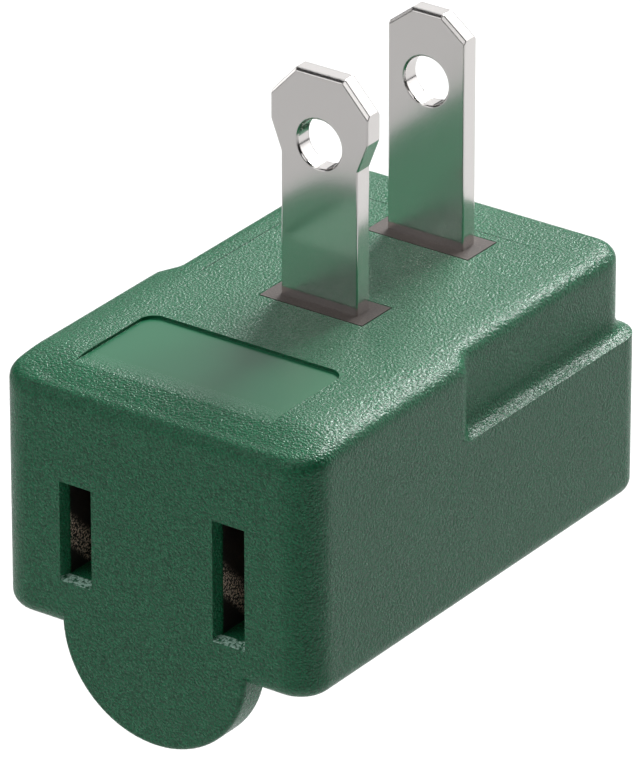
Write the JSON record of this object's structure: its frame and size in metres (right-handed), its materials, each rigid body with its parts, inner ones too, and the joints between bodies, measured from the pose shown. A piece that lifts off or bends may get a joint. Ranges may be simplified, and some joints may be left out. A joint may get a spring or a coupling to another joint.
{
  "type": "right angle plug adapter",
  "caption": "Moulded right angle plug adapter: flat polarised blades on the plug face, a slotted socket on the adjoining face and a half-round finger flange below it.",
  "frame": {"origin": "middle of the plug face, on the face and halfway between the two blades", "axes": "+Z along the blades, the way the plug goes in; -Y out of the socket face; +X towards the wide socket slot"},
  "size_m": [0.026, 0.0403, 0.0427],
  "materials": {
    "green_shell": "fine leather grain, semi-matt",
    "brown_core": "matt, lightly speckled",
    "nickel_plate": "bright nickel plating over brass",
    "contact_brass": "rolled, bare"
  },
  "bodies": {
    "root": {"outer_body": "green_shell", "contact_carrier": "brown_core", "slot_plate": "brown_core", "carrier_lid": "brown_core", "neutral_blade": "nickel_plate", "hot_blade": "nickel_plate", "neutral_contact": "contact_brass", "hot_contact": "contact_brass"}
  },
  "joints": []
}
